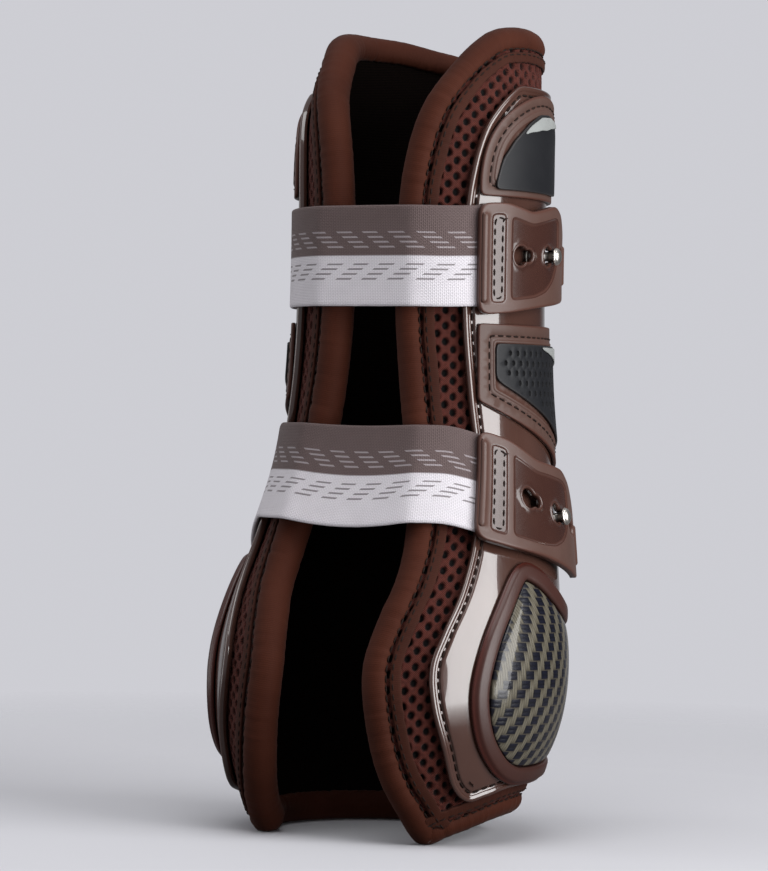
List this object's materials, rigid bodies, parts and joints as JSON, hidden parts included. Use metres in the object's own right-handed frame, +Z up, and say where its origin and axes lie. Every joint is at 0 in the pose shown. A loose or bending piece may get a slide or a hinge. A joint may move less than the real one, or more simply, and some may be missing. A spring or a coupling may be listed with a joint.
{
  "type": "open front tendon boot",
  "caption": "Open-front tendon boot for a horse's foreleg: padded liner, moulded shell, strike pad and two elastic straps with stud-fastened tabs.",
  "frame": {"origin": "on the ground, under the middle of the cannon bone", "axes": "+Z up the leg, -Y towards the open front, +X towards the outer side with the tabs"},
  "size_m": [0.1136, 0.1077, 0.2504],
  "materials": {
    "lining": "smooth black neoprene lining",
    "foam": "closed-cell foam",
    "spacer_mesh": "3-D spacer mesh with round cells",
    "binding": "fine ribbed stretch binding",
    "tape": "sewn tape",
    "shell": "gloss moulded polyurethane",
    "overlay": "satin moulded polyurethane, fine grain",
    "insert": "matte dark grey rubber",
    "crest": "pale grey moulded",
    "strike_pad": "navy and beige basket weave under a clear gloss coat",
    "elastic": "woven elastic, dark upper half and pale lower half",
    "tab": "polyurethane with a gloss middle and a satin border",
    "stud": "polished nickel",
    "washer": "plain steel"
  },
  "bodies": {
    "boot": {"inner_lining": "lining", "foam_core": "foam", "spacer_mesh": "spacer_mesh", "edge_binding": "binding", "binding_tape": "tape", "outer_shell": "shell", "upper_overlay": "overlay", "badge_insert": "insert", "badge_crescent": "crest", "middle_overlay": "overlay", "perforated_insert": "insert", "insert_crest": "crest", "strike_pad_frame": "overlay", "strike_pad": "strike_pad", "studs": "stud", "stud_washers": "washer", "upper_anchor_patch": "overlay", "lower_anchor_patch": "overlay"},
    "upper_strap": {"upper_elastic": "elastic"},
    "upper_tab": {"upper_tab": "tab"},
    "lower_strap": {"lower_elastic": "elastic"},
    "lower_tab": {"lower_tab": "tab"}
  },
  "joints": [
    {"name": "upper_strap_swing", "type": "hinge", "parent": "boot", "child": "upper_strap", "pos_m": [-0.0404, 0, 0.177], "axis": [0, 0, -1], "range_deg": [0, 120], "deforming": ["upper_elastic"]},
    {"name": "upper_tab_stretch", "type": "hinge", "parent": "upper_strap", "child": "upper_tab", "pos_m": [0, 0, 0.177], "axis": [0, -0.04, 0.9992], "range_deg": [0, 6], "stiffness_Nm_per_rad": 1.4, "deforming": ["upper_tab"]},
    {"name": "lower_strap_swing", "type": "hinge", "parent": "boot", "child": "lower_strap", "pos_m": [-0.047, -0.0041, 0.0988], "axis": [-0.1905, -0.2381, -0.9524], "range_deg": [0, 120], "deforming": ["lower_elastic"]},
    {"name": "lower_tab_stretch", "type": "hinge", "parent": "lower_strap", "child": "lower_tab", "pos_m": [0, -0.0035, 0.0985], "axis": [0, 0.28, 0.96], "range_deg": [0, 6], "stiffness_Nm_per_rad": 1.6, "deforming": ["lower_tab"]}
  ]
}
